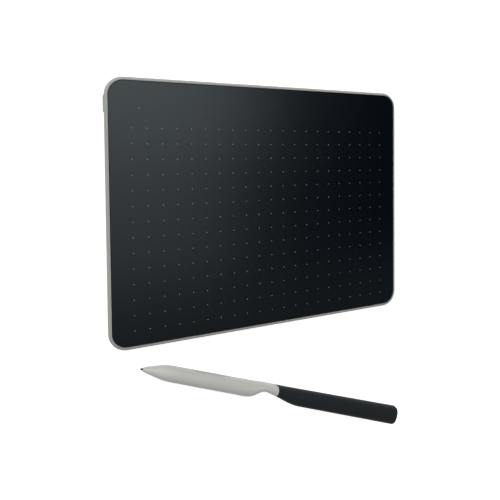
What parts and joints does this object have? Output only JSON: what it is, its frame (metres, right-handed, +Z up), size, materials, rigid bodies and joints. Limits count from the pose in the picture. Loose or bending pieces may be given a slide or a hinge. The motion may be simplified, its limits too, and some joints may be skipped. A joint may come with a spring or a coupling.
{
  "type": "graphics tablet",
  "caption": "Slim graphics tablet with a dotted black drawing surface in a light grey housing, and a slender two-tone pen with a side switch.",
  "frame": {"origin": "centre of the tablet's outline, on the desk that its feet and the pen lie on", "axes": "+X to the right along the tablet's long side, +Y away from the user towards the indicator, +Z up out of the drawing surface"},
  "size_m": [0.1776, 0.208, 0.0081],
  "materials": {
    "housing_grey": "fine matte moulding",
    "button_grey": "satin moulding",
    "face_black": "satin textured sheet with printed dots",
    "plate_black": "plain moulding",
    "board_green": "coated circuit board",
    "shield_steel": "thin rolled sheet",
    "screw_steel": "plated",
    "socket_steel": "drawn shell",
    "chip_black": "moulded package",
    "connector_white": "plain moulding",
    "ribbon_amber": "flexible film",
    "battery_silver": "laminate pouch",
    "lead_black": "flat insulated lead",
    "led_white": "light chip",
    "pipe_clear": "clear moulding",
    "foot_rubber": "soft matte",
    "pen_grey": "satin moulding",
    "pen_black": "satin moulding",
    "nib_black": "hard plain plastic",
    "inner_plastic": "plain moulding",
    "ferrite": "sintered",
    "copper_winding": "enamelled wire",
    "gauge_metal": "small can",
    "pad_rubber": "soft"
  },
  "bodies": {
    "tablet": {"rear_cover": "housing_grey", "drawing_sheet": "face_black", "top_plate": "plate_black", "sensor_board": "board_green", "controller_board": "board_green", "shield_plate": "shield_steel", "case_screws": "screw_steel", "board_screws": "screw_steel", "usb_socket_shell": "socket_steel", "radio_module": "socket_steel", "processor_chip": "chip_black", "usb_socket_tongue": "chip_black", "power_switch_body": "chip_black", "ribbon_connector": "connector_white", "battery_connector": "connector_white", "sensor_ribbon": "ribbon_amber", "battery_cell": "battery_silver", "battery_lead": "lead_black", "status_led": "led_white", "light_pipe": "pipe_clear", "rubber_foot_front_left": "foot_rubber", "rubber_foot_front_right": "foot_rubber", "rubber_foot_back_left": "foot_rubber", "rubber_foot_back_right": "foot_rubber"},
    "power_button": {"power_button": "button_grey", "power_switch_plunger": "connector_white"},
    "pen": {"pen_shell_left": "pen_grey", "pen_shell_right": "pen_grey", "pen_rear_grip": "pen_black", "pen_end_cap": "pen_black", "pen_switch_pin": "screw_steel", "pen_tact_front": "gauge_metal", "pen_tact_rear": "gauge_metal", "pen_board": "board_green", "pen_chassis": "inner_plastic", "pen_coil_core": "ferrite", "pen_coil_winding": "copper_winding", "pen_pressure_sensor": "gauge_metal", "pen_return_pad": "pad_rubber"},
    "nib": {"pen_nib": "nib_black", "pen_nib_holder": "inner_plastic"},
    "side_switch": {"pen_side_switch": "pen_grey"}
  },
  "joints": [
    {"name": "power_button_press", "type": "slide", "parent": "tablet", "child": "power_button", "axis": [1, 0, 0], "range_m": [0, 0.0003], "stiffness_N_per_m": 1500},
    {"name": "pen_lift", "type": "slide", "parent": "tablet", "child": "pen", "axis": [0, 0, 1], "range_m": [0, 0.08]},
    {"name": "nib_press", "type": "slide", "parent": "pen", "child": "nib", "axis": [0.9348, -0.3551, 0], "range_m": [0, 0.0003], "stiffness_N_per_m": 1500},
    {"name": "side_switch_rock", "type": "hinge", "parent": "pen", "child": "side_switch", "pos_m": [-0.03641, -0.08733, 0.00407], "axis": [0, 0, 1], "range_deg": [-2, 2], "stiffness_Nm_per_rad": 0.2}
  ]
}
